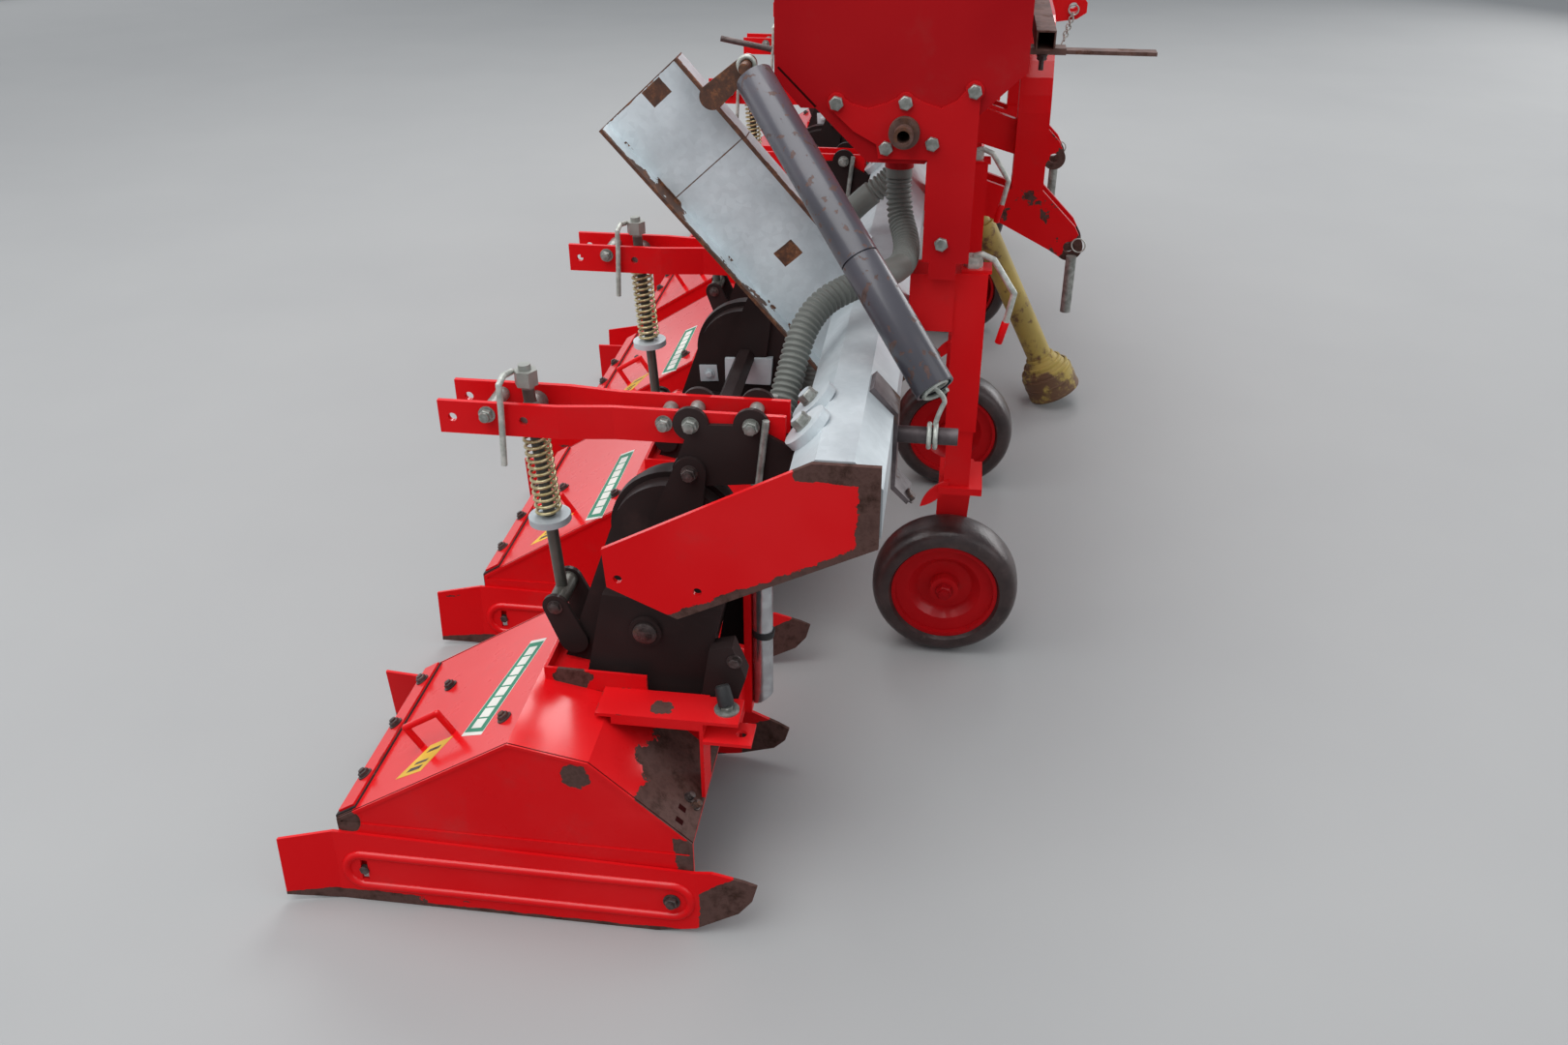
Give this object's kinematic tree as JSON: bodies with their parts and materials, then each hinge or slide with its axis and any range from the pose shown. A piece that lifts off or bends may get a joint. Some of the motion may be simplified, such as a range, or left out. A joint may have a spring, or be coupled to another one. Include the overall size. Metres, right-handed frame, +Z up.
{
  "type": "inter-row rotary cultivator",
  "caption": "Tractor-mounted inter-row rotary cultivator: hooded tine rotors under a galvanised beam, with depth wheels, spring arms and a fertiliser hopper.",
  "frame": {"origin": "on the ground under the middle of the machine's bounding box, hoses left out", "axes": "+X is the driving direction, +Y the machine's left side, +Z up"},
  "size_m": [1.4545, 4.4012, 1.504],
  "materials": {
    "red_paint": "gloss tractor red, chipped at edges",
    "black_paint": "brown-black satin paint",
    "tube_paint": "worn purple-grey paint",
    "galvanised": "matt hot-dip zinc",
    "zinc": "dull zinc plate",
    "zinc_yellow": "yellow zinc plate",
    "bare_steel": "dark worn steel",
    "rusty_steel": "rusty steel",
    "tyre": "worn solid rubber",
    "rubber_sheet": "dull black rubber sheet",
    "hose_grey": "ribbed grey hose",
    "yellow_plastic": "faded dirty yellow guard"
  },
  "bodies": {
    "frame": {"beam": "galvanised", "end_plates": "red_paint", "spring_arms": "red_paint", "arm_brackets": "black_paint", "shaft_hangers": "black_paint", "arm_bolts": "zinc", "adjust_discs": "galvanised", "drive_cases": "black_paint", "hoods": "red_paint", "skids": "red_paint", "hood_brackets": "red_paint", "hood_fittings": "red_paint", "hood_flaps": "rubber_sheet", "rod_levers": "zinc", "leg_cranks": "zinc", "clevises": "black_paint", "spring_rods": "bare_steel", "spring_cups": "zinc", "springs": "zinc_yellow", "trunnions": "bare_steel", "leg_sockets": "red_paint", "leg_stems": "red_paint", "hopper": "red_paint", "lid_hinge": "red_paint", "metering_shaft": "bare_steel", "hopper_stands": "red_paint", "channel_arms": "galvanised", "spring_tubes": "tube_paint", "beam_stubs": "rusty_steel", "fertiliser_pipes": "zinc", "shanks": "red_paint", "lower_ears": "red_paint", "hung_pins": "zinc", "hitch_arch": "red_paint", "braces": "red_paint", "gearbox": "black_paint", "front_rail": "rusty_steel", "hose_1": "hose_grey", "hose_2": "hose_grey", "hose_3": "hose_grey", "hose_4": "hose_grey", "hose_5": "hose_grey", "hose_6": "hose_grey"},
    "drive_shaft": {"drive_shaft": "bare_steel"},
    "lid": {"hopper_lid": "red_paint"},
    "pto": {"pto_shaft": "yellow_plastic"},
    "rotor_1": {"rotor_1": "bare_steel"},
    "rotor_2": {"rotor_2": "bare_steel"},
    "rotor_3": {"rotor_3": "bare_steel"},
    "rotor_4": {"rotor_4": "bare_steel"},
    "rotor_5": {"rotor_5": "bare_steel"},
    "rotor_6": {"rotor_6": "bare_steel"},
    "wheel_1": {"tyre_1": "tyre", "rim_1": "red_paint"},
    "wheel_2": {"tyre_2": "tyre", "rim_2": "red_paint"},
    "wheel_3": {"tyre_3": "tyre", "rim_3": "red_paint"},
    "wheel_4": {"tyre_4": "tyre", "rim_4": "red_paint"}
  },
  "joints": [
    {"name": "rotor_1_spin", "type": "hinge", "parent": "frame", "child": "rotor_1", "pos_m": [-0.267, -1.875, 0.175], "axis": [0, 1, 0], "continuous": true},
    {"name": "rotor_2_spin", "type": "hinge", "parent": "frame", "child": "rotor_2", "pos_m": [-0.267, -1.125, 0.175], "axis": [0, 1, 0], "continuous": true},
    {"name": "rotor_3_spin", "type": "hinge", "parent": "frame", "child": "rotor_3", "pos_m": [-0.267, -0.375, 0.175], "axis": [0, 1, 0], "continuous": true},
    {"name": "rotor_4_spin", "type": "hinge", "parent": "frame", "child": "rotor_4", "pos_m": [-0.267, 0.375, 0.175], "axis": [0, 1, 0], "continuous": true},
    {"name": "rotor_5_spin", "type": "hinge", "parent": "frame", "child": "rotor_5", "pos_m": [-0.267, 1.125, 0.175], "axis": [0, 1, 0], "continuous": true},
    {"name": "rotor_6_spin", "type": "hinge", "parent": "frame", "child": "rotor_6", "pos_m": [-0.267, 1.875, 0.175], "axis": [0, 1, 0], "continuous": true},
    {"name": "drive_shaft_spin", "type": "hinge", "parent": "frame", "child": "drive_shaft", "pos_m": [-0.089, 0, 0.603], "axis": [0, 1, 0], "continuous": true},
    {"name": "wheel_1_spin", "type": "hinge", "parent": "frame", "child": "wheel_1", "pos_m": [0.358, -1.29, 0.155], "axis": [0, 1, 0], "continuous": true},
    {"name": "wheel_2_spin", "type": "hinge", "parent": "frame", "child": "wheel_2", "pos_m": [0.358, -0.54, 0.155], "axis": [0, 1, 0], "continuous": true},
    {"name": "wheel_3_spin", "type": "hinge", "parent": "frame", "child": "wheel_3", "pos_m": [0.358, 0.54, 0.155], "axis": [0, 1, 0], "continuous": true},
    {"name": "wheel_4_spin", "type": "hinge", "parent": "frame", "child": "wheel_4", "pos_m": [0.358, 1.29, 0.155], "axis": [0, 1, 0], "continuous": true},
    {"name": "lid_swing", "type": "hinge", "parent": "frame", "child": "lid", "pos_m": [0.447, 0, 1.49], "axis": [0, 1, 0], "range_deg": [0, 110]},
    {"name": "pto_swing", "type": "hinge", "parent": "frame", "child": "pto", "pos_m": [0.373, 0, 0.603], "axis": [0, -1, 0], "range_deg": [0, 63]}
  ],
  "couplings": [
    {"joint": "rotor_1_spin", "follows": "rotor_2_spin", "ratio": 1},
    {"joint": "rotor_3_spin", "follows": "rotor_2_spin", "ratio": 1},
    {"joint": "rotor_4_spin", "follows": "rotor_2_spin", "ratio": 1},
    {"joint": "rotor_5_spin", "follows": "rotor_2_spin", "ratio": 1},
    {"joint": "rotor_6_spin", "follows": "rotor_2_spin", "ratio": 1},
    {"joint": "drive_shaft_spin", "follows": "rotor_2_spin", "ratio": 1}
  ]
}
